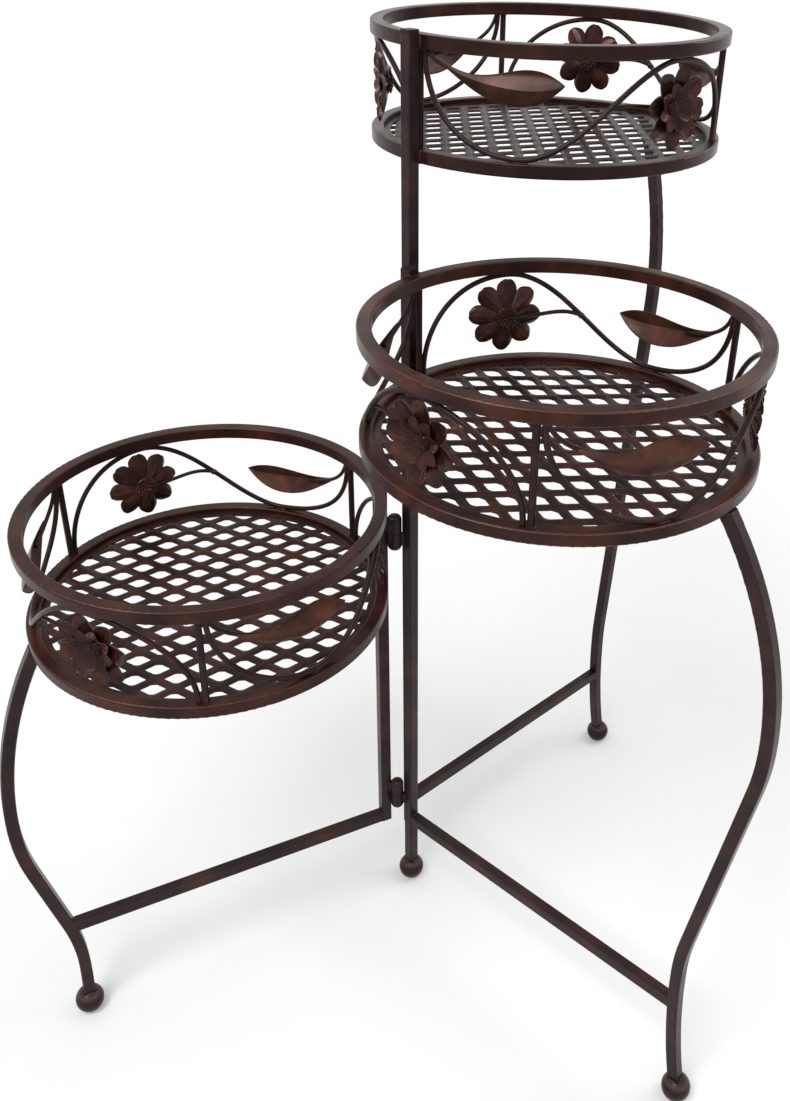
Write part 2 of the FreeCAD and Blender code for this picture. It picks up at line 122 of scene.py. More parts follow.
@dataclass(frozen=True)
class RubbedPaint:
    """Antique bronze paint on steel, sprayed dark and rubbed back by hand.

    The eye gets a nearly black brown with soft redder clouds, a fine sprayed grain,
    a paler line on the corners that is wear and a painted highlight,
    and a low gloss that is uneven where the rub went.
    """

    name: str
    shade: str
    coat: str
    rub: str
    worn_and_highlit: str
    wear_and_highlight: float
    cloud_mm: float
    grain_mm: float
    dull: float
    gloss: float
    metallic: float
    relief_mm: float
    cloud_levels: Triple = (0.34, 0.5, 0.70)
    cloud_detail: float = 4.0
    grain_detail: float = 2.0
    noise_roughness: float = 0.6
    noise_span: Pair = (0.3, 0.7)
    speck: Pair = (0.8, 1.16)
    corner_lean: float = 0.7
    corner_span: Pair = (0.25, 0.02)
    relief_strength: float = 0.5
    specular: float = 0.1
    lacquer: float = 0.08
    lacquer_roughness: float = 0.15

    def corners(self, tree: bpy.types.NodeTree, facing: bpy.types.NodeSocket) -> bpy.types.NodeSocket:
        """Adds the paler corners, wear and a painted highlight: full where a surface leans halfway,
        as the tube's rounded corners do.

        Args:
            tree: Node tree of the material.
            facing: Direction of the surface in object coordinates.

        Returns:
            The socket with the share of wear and painted highlight.
        """
        parts = add_node(tree, "ShaderNodeSeparateXYZ", {"Vector": facing})
        rise = add_node(tree, "ShaderNodeMath", {0: parts.outputs["Z"]}, operation="ABSOLUTE")
        lean = add_node(tree, "ShaderNodeMath", {
            0: rise.outputs[0], 1: self.corner_lean}, operation="SUBTRACT")
        off = add_node(tree, "ShaderNodeMath", {0: lean.outputs[0]}, operation="ABSOLUTE")
        return add_node(tree, "ShaderNodeMapRange", {
            "Value": off.outputs[0], "From Min": self.corner_span[0], "From Max": self.corner_span[1],
            "To Min": 0.0, "To Max": self.wear_and_highlight}).outputs["Result"]

    def colour(self, tree: bpy.types.NodeTree, cloud: bpy.types.NodeSocket, grain: bpy.types.NodeSocket,
               facing: bpy.types.NodeSocket) -> bpy.types.NodeSocket:
        """Adds the paint's colour.

        Args:
            tree: Node tree of the material.
            cloud: Noise of the clouds.
            grain: Noise of the sprayed grain.
            facing: Direction of the surface in object coordinates.

        Returns:
            The socket with the colour.
        """
        ramp = add_node(tree, "ShaderNodeValToRGB", {"Fac": cloud})
        low, middle, high = self.cloud_levels
        stops = ramp.color_ramp.elements
        stops[0].position, stops[1].position = low, high
        stops[0].color, stops[1].color = linear(self.shade), linear(self.rub)
        stops.new(middle).color = linear(self.coat)
        speck = add_node(tree, "ShaderNodeMapRange", {
            "Value": grain, "From Min": self.noise_span[0], "From Max": self.noise_span[1],
            "To Min": self.speck[0], "To Max": self.speck[1]})
        sprayed = add_node(tree, "ShaderNodeVectorMath", {
            0: ramp.outputs["Color"], "Scale": speck.outputs["Result"]}, operation="SCALE")
        # The paler colour where a surface leans halfway: wear and a painted highlight on the corners.
        worn_and_highlit = add_node(tree, "ShaderNodeMix", {0: self.corners(tree, facing)}, data_type="RGBA")
        tree.links.new(sprayed.outputs["Vector"], worn_and_highlit.inputs[6])
        worn_and_highlit.inputs[7].default_value = linear(self.worn_and_highlit)
        return worn_and_highlit.outputs[2]

    def in_painted_shade(self, kept: float) -> "RubbedPaint":
        """The same paint, darker: a copy for painted shade.

        Args:
            kept: Share of the colours' brightness that is kept.

        Returns:
            The darker paint.
        """
        codes = {"shade": self.shade, "coat": self.coat, "rub": self.rub}
        for part, code in codes.items():
            levels = (round(kept * int(code[i:i + 2], 16)) for i in (1, 3, 5))
            codes[part] = "#" + "".join(f"{level:02x}" for level in levels)
        return replace(self, name=f"painted_shade_{self.name}", **codes)

    def material(self) -> bpy.types.Material:
        """Builds the paint's material.

        Returns:
            The new material.
        """
        paint = bpy.data.materials.new(self.name)
        paint.use_nodes = True
        tree = paint.node_tree
        tree.nodes.clear()
        surface = add_node(tree, "ShaderNodeTexCoord", {})
        # The real grain is finer than the picture can show, so it is drawn coarser.
        cloud, grain = (
            add_node(tree, "ShaderNodeTexNoise", {
                "Vector": surface.outputs["Object"], "Scale": 1 / (size_mm * MM), "Detail": detail,
                "Roughness": self.noise_roughness}).outputs["Fac"]
            for size_mm, detail in ((self.cloud_mm, self.cloud_detail), (self.grain_mm, self.grain_detail)))
        rough = add_node(tree, "ShaderNodeMapRange", {
            "Value": cloud, "From Min": self.noise_span[0], "From Max": self.noise_span[1],
            "To Min": self.dull, "To Max": self.gloss})
        bump = add_node(tree, "ShaderNodeBump", {
            "Height": grain, "Strength": self.relief_strength, "Distance": self.relief_mm * MM})
        shader = add_node(tree, "ShaderNodeBsdfPrincipled", {
            "Base Color": self.colour(tree, cloud, grain, surface.outputs["Normal"]),
            "Roughness": rough.outputs["Result"], "Metallic": self.metallic,
            "Normal": bump.outputs["Normal"], "Specular IOR Level": self.specular,
            "Coat Weight": self.lacquer, "Coat Roughness": self.lacquer_roughness})
        add_node(tree, "ShaderNodeOutputMaterial", {"Surface": shader.outputs["BSDF"]})
        return paint


# Each paint's paler corner colour and its share are wear and a painted highlight.
# Square steel tube of legs, uprights and bars: the coolest coat, clouds about a hand's breadth long.
TUBE_PAINT = RubbedPaint(
    "antique_bronze_tube_paint", shade="#241819", coat="#2e2021", rub="#442a27", worn_and_highlit="#6b5854", wear_and_highlight=0.4,
    cloud_mm=46, grain_mm=0.9, dull=0.36, gloss=0.26, metallic=0.12, relief_mm=0.06)
# Rolled steel rings: handled most, so the rub went down to a redder brown.
RING_PAINT = RubbedPaint(
    "antique_bronze_ring_paint", shade="#241210", coat="#351b16", rub="#4e291e", worn_and_highlit="#6e5850", wear_and_highlight=0.5,
    cloud_mm=38, grain_mm=0.9, dull=0.36, gloss=0.26, metallic=0.12, relief_mm=0.06)
# Drawn steel wire: thin, so the spray lies smoother and only short stretches are rubbed.
WIRE_PAINT = RubbedPaint(
    "antique_bronze_wire_paint", shade="#201311", coat="#2a1917", rub="#3e251f", worn_and_highlit="#4c3731", wear_and_highlight=0.15,
    cloud_mm=24, grain_mm=0.8, dull=0.38, gloss=0.28, metallic=0.12, relief_mm=0.04)
# Pressed sheet steel of the leaves: proud of the wall, so the hand rubs it reddest.
LEAF_PAINT = RubbedPaint(
    "antique_bronze_leaf_paint", shade="#371f1b", coat="#4e2f27", rub="#6a4034", worn_and_highlit="#66463c", wear_and_highlight=0.1,
    cloud_mm=26, grain_mm=0.8, dull=0.38, gloss=0.28, metallic=0.15, relief_mm=0.05)
# Pressed sheet steel of the flowers: darker all over than the leaves.
FLOWER_PAINT = RubbedPaint(
    "antique_bronze_flower_paint", shade="#261412", coat="#381f1b", rub="#5a3427", worn_and_highlit="#523630", wear_and_highlight=0.1,
    cloud_mm=20, grain_mm=0.8, dull=0.32, gloss=0.2, metallic=0.2, relief_mm=0.05)
# Stamped lattice sheet: wide bars that catch a dusty, redder rub between the holes.
LATTICE_PAINT = RubbedPaint(
    "antique_bronze_lattice_paint", shade="#261614", coat="#34201c", rub="#4f2f26", worn_and_highlit="#5f4840", wear_and_highlight=0.25,
    cloud_mm=34, grain_mm=0.9, dull=0.40, gloss=0.30, metallic=0.1, relief_mm=0.05)
# Turned steel pin: bare and oiled, so darker and glossier than the paint around it.
PIN_STEEL = RubbedPaint(
    "oiled_steel_pin", shade="#3c3836", coat="#55504d", rub="#6d6763", worn_and_highlit="#6d6763", wear_and_highlight=0.0,
    cloud_mm=8, grain_mm=0.5, dull=0.30, gloss=0.22, metallic=1.0, relief_mm=0.02)
# Moulded polyethylene plug: brown through and through, with a soft waxy gloss.
PLUG_PLASTIC = RubbedPaint(
    "moulded_polyethylene_plug", shade="#231816", coat="#2c1e1b", rub="#35241f", worn_and_highlit="#4a3a35", wear_and_highlight=0.2,
    cloud_mm=12, grain_mm=0.7, dull=0.50, gloss=0.42, metallic=0.0, relief_mm=0.03)

# Painted shade: the upper tray's paints are darker copies, as the lamps light it more than the trays below.
UPPER_PAINTED_SHADE = 0.8


def turned(angle: float, axis: str) -> Matrix:
    """Turn by an angle in degrees about an axis."""
    return Matrix.Rotation(math.radians(angle), 4, axis)


def shifted(x: float, y: float, z: float) -> Matrix:
    """Shift along the three axes."""
    return Matrix.Translation((x, y, z))


@dataclass(frozen=True)
class Wing:
    """One wing of the stand, where the frame has it: lengths in metres, angles in degrees."""

    name: str
    axis: Pair
    direction: float
    tray_top: float
    lattice_turn: float
    motif_turn: float
    leaf_rises: tuple[float, ...]
    foot_lean: float

    @property
    def body(self) -> str:
        """Name of the body that the wing is."""
        return f"{self.name}_wing"

    def place(self) -> Matrix:
        """Frame of the wing: its upright's axis up, its tray along +X."""
        return shifted(*self.axis, 0) @ turned(self.direction, "Z")

    def tray(self) -> Matrix:
        """Frame of the tray: its axis up, from the top of its lower ring."""
        return self.place() @ shifted(TRAY_REACH, 0, self.tray_top - TRAY_HEIGHT + TUBE)

    def leaf_lifts(self) -> list[float]:
        """How far each leaf of the tray sits above half height."""
        return [(rise - 0.5) * WALL_OPEN for rise in self.leaf_rises]

    def bar_end(self) -> float:
        """How far the crossbar reaches from the upright's axis."""
        back = self.place().inverted()
        return max((back @ v.co).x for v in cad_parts[f"{self.name}_crossbar"].data.vertices)

    def motif(self, index: int, share: float = 0.0) -> Matrix:
        """Frame in the tray that looks out at a share of one motif.

        Args:
            index: Number of the motif.
            share: How far along the motif, from its rod to the next.

        Returns:
            The frame, with +X out of the tray and -Y along the motif.
        """
        return self.tray() @ turned(self.motif_turn + MOTIF_START + MOTIF_ANGLE * (index - share), "Z")


WINGS = (
    Wing("upper", axis=(0.0, 0.0), direction=41.0, tray_top=832 * MM, lattice_turn=12.0,
         motif_turn=0.0, leaf_rises=(0.5, 0.68, 0.53), foot_lean=13.0),
    Wing("middle", axis=(-0.679 * MM, -25.914 * MM), direction=-44.0, tray_top=668 * MM, lattice_turn=10.0,
         motif_turn=0.0, leaf_rises=(0.5, 0.51, 0.58), foot_lean=11.8),
    Wing("lower", axis=(-25.763 * MM, -21.491 * MM), direction=-156.0, tray_top=500 * MM, lattice_turn=-21.0,
         motif_turn=13.0, leaf_rises=(0.58, 0.46, 0.5), foot_lean=4.2),
)


def only(*chosen: bpy.types.Object) -> None:
    """Selects these objects and nothing else, the first one active.

    Args:
        chosen: The objects.
    """
    bpy.ops.object.select_all(action="DESELECT")
    for obj in chosen:
        obj.select_set(True)
    bpy.context.view_layer.objects.active = chosen[0]


def start_from(add: Callable[..., object], name: str, **sizes: object) -> bpy.types.Object:
    """Adds the primitive that a piece is shaped from.

    Args:
        add: Operator that adds it.
        name: Name of the piece.
        sizes: Settings of the operator.

    Returns:
        The new object, which alone is selected.
    """
    bpy.ops.object.select_all(action="DESELECT")
    add(**sizes)
    start = bpy.context.object
    start.name = name
    return start


def open_all() -> None:
    """Opens edit mode with the whole mesh selected."""
    bpy.ops.object.mode_set(mode="EDIT")
    bpy.ops.mesh.select_all(action="SELECT")


def close_edit() -> None:
    """Goes back to object mode."""
    bpy.ops.object.mode_set(mode="OBJECT")


def turn_flat(angle: float) -> None:
    """Turns what is selected about +Z at the origin, by an angle in degrees."""
    bpy.ops.transform.rotate(value=-math.radians(angle), orient_axis="Z", center_override=ORIGIN)


def resize(x: float, y: float, z: float) -> None:
    """Scales what is selected about the origin."""
    bpy.ops.transform.resize(value=(x, y, z), center_override=ORIGIN)


def pick(obj: bpy.types.Object, rule: Callable[[bmesh.types.BMVert], bool]) -> None:
    """Selects the vertices of the mesh in edit mode that a rule names.

    Args:
        obj: Object in edit mode.
        rule: Says for a vertex whether it is wanted.
    """
    mesh = bmesh.from_edit_mesh(obj.data)
    for vert in mesh.verts:
        vert.select_set(rule(vert))
    mesh.select_flush_mode()
    bmesh.update_edit_mesh(obj.data)


def cut_faces(obj: bpy.types.Object, rule: Callable[[bmesh.types.BMFace], bool]) -> None:
    """Deletes the faces of the mesh in edit mode that a rule names.

    Args:
        obj: Object in edit mode.
        rule: Says for a face whether it goes.
    """
    bpy.ops.mesh.select_mode(type="FACE")
    mesh = bmesh.from_edit_mesh(obj.data)
    for face in mesh.faces:
        face.select_set(rule(face))
    mesh.select_flush_mode()
    bmesh.update_edit_mesh(obj.data)
    bpy.ops.mesh.delete(type="FACE")


def finish_with(obj: bpy.types.Object, kind: str, **settings: object) -> None:
    """Adds a modifier and applies it.

    Args:
        obj: Object in object mode.
        kind: Type of the modifier.
        settings: Properties of the modifier.
    """
    only(obj)
    modifier = obj.modifiers.new(kind.lower(), kind)
    for name, value in settings.items():
        setattr(modifier, name, value)
    bpy.ops.object.modifier_apply(modifier=modifier.name)


def settle(obj: bpy.types.Object, place: Matrix) -> bpy.types.Object:
    """Puts an object's place in its mesh.

    Args:
        obj: The object.
        place: Where it goes.

    Returns:
        The same object, at the origin.
    """
    obj.matrix_world = place
    only(obj)
    bpy.ops.object.transform_apply(location=True, rotation=True, scale=True)
    return obj


def copy_to(obj: bpy.types.Object, place: Matrix) -> bpy.types.Object:
    """Copies a modelled piece with its own mesh.

    Args:
        obj: The piece that was modelled once.
        place: Where the copy goes.

    Returns:
        The copy, at the origin with its place in its mesh.
    """
    copy = obj.copy()
    copy.data = obj.data.copy()
    bpy.context.scene.collection.objects.link(copy)
    return settle(copy, place)


def join(name: str, parts: list[bpy.types.Object]) -> bpy.types.Object:
    """Joins copies to one smooth piece.

    Args:
        name: Name of the piece.
        parts: The copies.

    Returns:
        The piece.
    """
    only(*parts)
    if len(parts) > 1:
        bpy.ops.object.join()
    piece = bpy.context.object
    piece.name = name
    piece.data.name = name
    bpy.ops.object.shade_smooth_by_angle(angle=math.radians(SMOOTH_ANGLE))
    return piece


def discard(*done: bpy.types.Object) -> None:
    """Removes the pattern pieces that the copies were taken from."""
    for obj in done:
        bpy.data.objects.remove(obj)


def dress(piece: bpy.types.Object, finish: bpy.types.Material) -> None:
    """Gives a piece one finish all over."""
    piece.data.materials.clear()
    piece.data.materials.append(finish)


def hand_over(wing: Wing, word: str, parts: list[bpy.types.Object], finish: bpy.types.Material, slot: Slot,
              *nodes: str) -> None:
    """Joins, dresses and ties a finished piece to the wing that carries it.

    Args:
        wing: The wing that the piece moves with.
        word: What the piece is, the end of its name.
        parts: The copies that it is joined from.
        finish: Its paint.
        slot: Not used.
        nodes: The wing's nodes that it stands for.
    """
    piece = join(f"{wing.name}_{word}", parts)
    dress(piece, finish)
    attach(piece, wing.body)
    if nodes:
        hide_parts(*(f"{wing.name}_{node}" for node in nodes))
    LOG.info("%s: %d faces", piece.name, len(piece.data.polygons))


@dataclass
class SheetBlank:
    """A flat blank of sheet in XY, one metre each way from its middle, shaped row by row.

    A row lies across the blank at one place along X, and a lane runs along it.
    """

    name: str
    steps: int
    lanes_across: int
    obj: bpy.types.Object = field(init=False)
    rows: list[set[int]] = field(init=False)
    lanes: list[set[int]] = field(init=False)

    def __post_init__(self) -> None:
        """Adds the grid and notes which vertices lie in each row and lane."""
        self.obj = start_from(bpy.ops.mesh.primitive_grid_add, self.name,
                              x_subdivisions=self.steps, y_subdivisions=self.lanes_across, size=2)
        self.rows = self.lines(0)
        self.lanes = self.lines(1)
        bpy.ops.object.mode_set(mode="EDIT")
        bpy.ops.mesh.select_mode(type="VERT")

    def lines(self, way: int) -> list[set[int]]:
        """Vertices that share a place along one direction, in order."""
        places = sorted({round(v.co[way], 4) for v in self.obj.data.vertices})
        return [{v.index for v in self.obj.data.vertices if round(v.co[way], 4) == p} for p in places]

    def place_of(self, row: set[int]) -> float:
        """Place of a row along X.

        Args:
            row: Vertices of the row.

        Returns:
            The place, in the blank's own metres.
        """
        mesh = bmesh.from_edit_mesh(self.obj.data)
        mesh.verts.ensure_lookup_table()
        return mesh.verts[next(iter(row))].co.x

    def choose(self, chosen: set[int]) -> None:
        """Selects some of the vertices."""
        pick(self.obj, lambda vert: vert.index in chosen)

    def shift(self, chosen: set[int], by: Triple) -> None:
        """Moves some of the vertices."""
        self.choose(chosen)
        bpy.ops.transform.translate(value=by)

    def stretch(self, chosen: set[int], by: Triple, centre: Triple) -> None:
        """Scales some of the vertices about a centre."""
        self.choose(chosen)
        bpy.ops.transform.resize(value=by, center_override=centre)

    def turn(self, chosen: set[int], angle: float, axis: str, centre: Triple) -> None:
        """Turns some of the vertices by an angle in degrees about an axis through a centre."""
        self.choose(chosen)
        bpy.ops.transform.rotate(value=-math.radians(angle), orient_axis=axis, center_override=centre)

    def done(self, thickness: float, smooth: int) -> bpy.types.Object:
        """Leaves edit mode and gives the sheet its thickness.

        Args:
            thickness: Thickness on the sheet's upper side.
            smooth: Levels of subdivision.

        Returns:
            The finished sheet.
        """
        bpy.ops.mesh.select_all(action="SELECT")
        bpy.ops.mesh.remove_doubles(threshold=MERGE_GAP)
        close_edit()
        finish_with(self.obj, "SOLIDIFY", thickness=thickness, offset=1.0, use_even_offset=True)
        finish_with(self.obj, "SUBSURF", levels=smooth, render_levels=smooth)
        return self.obj


@dataclass
class PetalRing:
    """A ring of petals pressed from one sheet, around +Z, which is the flower's front.

    Places along a petal and the depths of its grooves, listed from its middle to its edge, are shares.
    """

    inner: float
    reach: float
    width: float
    rise: float
    cup: float
    groove: float
    sheet: float
    turn: float
    base: float
    count: int = 8
    steps: int = 8
    grooves: tuple[float, ...] = (1.0, 0.0, 0.45, 0.0, 0.0)
    waist: float = 0.36
    widest: float = 0.66
    shoulder_power: float = 1.3
    tip: float = 0.985
    rise_power: float = 1.4
    droop: float = 0.14
    droop_from: float = 0.75

    def half_width(self, along: float) -> float:
        """Half the petal's width: a waist, a round shoulder and a round tip.

        Args:
            along: Share of the petal's length.

        Returns:
            Half the width there.
        """
        if along < self.widest:
            swell = math.sin(math.pi / 2 * along / self.widest) ** self.shoulder_power
            return self.width / 2 * (self.waist + (1 - self.waist) * swell)
        past = (min(along, self.tip) - self.widest) / (1 - self.widest)
        return self.width / 2 * math.sqrt(1 - past ** 2)

    def lift(self, along: float) -> float:
        """Height of the petal at a share of its length: it rises, and its tip droops a little."""
        drooped = self.droop * max(0.0, along - self.droop_from) / (1 - self.droop_from)
        return self.base + self.rise * (along ** self.rise_power - drooped)

    def petal(self, name: str) -> bpy.types.Object:
        """Models one petal along +X: cupped across, grooved along its middle and sides, its tip lifted.

        Args:
            name: Name of the piece.

        Returns:
            The petal.
        """
        half = len(self.grooves) - 1
        blank = SheetBlank(name, self.steps, 2 * half)
        length = self.reach - self.inner
        everything = set().union(*blank.rows)
        blank.stretch(everything, (length / 2, 1, 1), ORIGIN)
        blank.shift(everything, (self.inner + length / 2, 0, 0))
        for number, lane in enumerate(blank.lanes):
            off = abs(number - half)
            blank.shift(lane, (0, 0, self.cup * (off / half) ** 2 - self.groove * self.grooves[off]))
        for number, row in enumerate(blank.rows):
            along = number / self.steps
            wide = self.half_width(along)
            blank.stretch(row, (1, wide, wide / (self.width / 2)), (self.inner + length * along, 0, 0))
            blank.shift(row, (0, 0, self.lift(along)))
        return blank.done(self.sheet, 1)

    def build(self, name: str) -> bpy.types.Object:
        """Models the whole ring from one petal.

        Args:
            name: Name of the piece.

        Returns:
            The ring of petals.
        """
        ring = self.petal(name)
        only(ring)
        open_all()
        turn_flat(self.turn)
        bpy.ops.mesh.spin(steps=self.count - 1, dupli=True, angle=2 * math.pi * (self.count - 1) / self.count,
                          center=ORIGIN, axis=(0, 0, 1))
        bpy.ops.mesh.select_all(action="SELECT")
        bpy.ops.mesh.normals_make_consistent(inside=False)
        close_edit()
        return ring


@dataclass
class SeedHead:
    """Round head of small seeds on a low dome, in the spiral of a sunflower: angles in degrees."""

    radius: float
    height: float
    seeds: int
    seed: float
    below: float = 0.2 * MM
    spread: float = 62.0
    golden_angle: float = 137.508
    seed_shoulder: float = 0.3
    seed_tip: Triple = (0.75, 0.75, 1.25)

    def dome(self, name: str) -> bpy.types.Object:
        """Models the dome: a ball pressed low and cut off under its middle.

        Args:
            name: Name of the piece.

        Returns:
            The dome.
        """
        dome = start_from(bpy.ops.mesh.primitive_uv_sphere_add, name,
                          segments=20, ring_count=10, radius=self.radius)
        open_all()
        resize(1, 1, self.height / self.radius)
        bpy.ops.mesh.bisect(plane_co=(0, 0, -self.below), plane_no=(0, 0, 1), clear_inner=True, use_fill=True)
        close_edit()
        return dome

    def grain(self) -> bpy.types.Object:
        """Models one seed: a small drop, longer than wide, with few faces.

        Returns:
            The seed, with its tip to +Z.
        """
        grain = start_from(bpy.ops.mesh.primitive_uv_sphere_add, "seed",
                           segments=8, ring_count=5, radius=self.seed)
        bpy.ops.object.mode_set(mode="EDIT")
        bpy.ops.mesh.select_mode(type="VERT")
        pick(grain, lambda vert: vert.co.z > self.seed_shoulder * self.seed)
        resize(*self.seed_tip)
        close_edit()
        return grain

    def build(self, name: str) -> bpy.types.Object:
        """Models the head.

        Args:
            name: Name of the piece.

        Returns:
            The head, with +Z to its front.
        """
        parts = [self.dome(name)]
        grain = self.grain()
        for number in range(self.seeds):
            angle = math.radians(self.golden_angle * number)
            tilt = math.sqrt((number + 0.5) / self.seeds) * math.radians(self.spread)
            out = Vector((math.sin(tilt) * math.cos(angle), math.sin(tilt) * math.sin(angle), math.cos(tilt)))
            at = shifted(out.x * self.radius, out.y * self.radius, out.z * self.height)
            parts.append(copy_to(grain, at @ out.to_track_quat("Z", "Y").to_matrix().to_4x4()))
        discard(grain)
        return join(name, parts)


@dataclass
class Flowers:
    """Flowers of a tray: a ring of outer petals, a smaller ring inside it and a head of seeds.

    A rosette of larger seeds closes each flower's back.
    """

    share: float = 0.28
    back: float = 128 * MM
    head_rise: float = 2 * MM
    rolls: tuple[float, ...] = (3.0, -6.0, 10.0)
    outer: PetalRing = field(default_factory=lambda: PetalRing(
        inner=4.5 * MM, reach=30 * MM, width=17.6 * MM, rise=6.4 * MM, cup=3.4 * MM,
        groove=1.9 * MM, sheet=0.8 * MM, turn=0.0, base=0.1 * MM))
    heart: PetalRing = field(default_factory=lambda: PetalRing(
        inner=2.5 * MM, reach=18 * MM, width=10.6 * MM, rise=5.0 * MM, cup=2.3 * MM,
        groove=1.3 * MM, sheet=0.7 * MM, turn=22.5, base=1.9 * MM))
    head: SeedHead = field(default_factory=lambda: SeedHead(
        radius=5.4 * MM, height=4.2 * MM, seeds=26, seed=1.0 * MM))
    rosette: SeedHead = field(default_factory=lambda: SeedHead(
        radius=9.4 * MM, height=3.4 * MM, seeds=34, seed=1.4 * MM))

    def places(self, wing: Wing) -> list[Matrix]:
        """Frames of the wing's flowers, with +Z out of the tray."""
        to_place = shifted(self.back, 0, WALL_OPEN / 2) @ turned(90, "Y")
        return [wing.motif(index, self.share) @ to_place @ turned(roll, "Z")
                for index, roll in enumerate(self.rolls)]

    def build(self, wings: tuple[Wing, ...], finish: bpy.types.Material) -> None:
        """Models one flower and sets its copies in every tray.

        Args:
            wings: The wings of the stand.
            finish: Paint of the pressed sheet.
        """
        petals = self.outer.build("flower_petals")
        head = settle(self.head.build("flower_head"), shifted(0, 0, self.head_rise))
        rosette = settle(self.rosette.build("flower_rosette"), turned(180, "X"))
        heart = join("flower_heart", [self.heart.build("heart_petals"), head, rosette])
        for wing in wings:
            for pattern, word, node in (
                    (petals, "pressed_petals", "petals"), (heart, "flower_heads", "flower_hearts")):
                copies = [copy_to(pattern, place) for place in self.places(wing)]
                hand_over(wing, word, copies, finish, Slot.PRESSED, node)
        discard(petals, heart)


@dataclass
class Leaves:
    """Leaves of a tray: an S-shaped blade folded along a ridge that looks out of the tray.

    Each station is a share of the length from the tip, the height of the ridge above the lower ring,
    and the blade's reach above and below the ridge, all heights in millimetres. Tip and base are
    shares of the motif, and the fold is full where the blade is widest.
    """

    tip: float = 0.605
    base: float = 0.915
    ridge_radius: float = 137.0 * MM
    fold: float = 8.5 * MM
    fold_straight: float = 0.75
    widest_mm: float = 14.0
    lanes_each_side: int = 3
    sheet: float = 0.9 * MM
    stations: tuple[Station, ...] = (
        (0.00, 40.6, 0.4, 0.4),
        (0.07, 38.6, 6.6, 5.0),
        (0.17, 36.9, 12.0, 9.6),
        (0.30, 36.4, 13.8, 12.8),
        (0.44, 37.2, 11.2, 14.0),
        (0.60, 38.9, 6.2, 13.0),
        (0.75, 41.3, 3.2, 9.4),
        (0.88, 44.6, 2.0, 4.8),
        (1.00, 48.5, 1.3, 1.3),
    )

    def blade(self, name: str) -> bpy.types.Object:
        """Models one leaf in the tray's frame, at the first motif's place with no turn.

        Args:
            name: Name of the piece.

        Returns:
            The leaf.
        """
        half = self.lanes_each_side
        blank = SheetBlank(name, len(self.stations) - 1, 2 * half)
        for number, lane in enumerate(blank.lanes):
            off = abs(number - half) / half
            bent = self.fold_straight * off + (1 - self.fold_straight) * off ** 2
            blank.shift(lane, (0, 0, -self.fold * bent))
        upper = set().union(*blank.lanes[half + 1:])
        lower = set().union(*blank.lanes[:half])
        for (along, ridge, above, below), row in zip(self.stations, blank.rows):
            x = blank.place_of(row)
            for side, reach in ((upper, above), (lower, below)):
                blank.stretch(row & side, (1, reach * MM, reach / self.widest_mm), (x, 0, 0))
            blank.shift(row, (-x, ridge * MM, 0))
            share = self.tip + (self.base - self.tip) * along
            blank.turn(row, -MOTIF_ANGLE * share, "Y", (0, 0, -self.ridge_radius))
        blank.choose(blank.lanes[half])
        bpy.ops.transform.edge_crease(value=1.0)
        upright = turned(90, "Z") @ turned(90, "X") @ shifted(0, 0, self.ridge_radius)
        return settle(blank.done(self.sheet, 2), upright)

    def build(self, wings: tuple[Wing, ...], finish: bpy.types.Material) -> None:
        """Models one leaf and sets its copies in every tray.

        Args:
            wings: The wings of the stand.
            finish: Paint of the pressed sheet.
        """
        leaf = self.blade("leaf")
        for wing in wings:
            copies = [copy_to(leaf, wing.motif(index) @ shifted(0, 0, lift))
                      for index, lift in enumerate(wing.leaf_lifts())]
            hand_over(wing, "pressed_leaves", copies, finish, Slot.PRESSED, "leaves")
        discard(leaf)


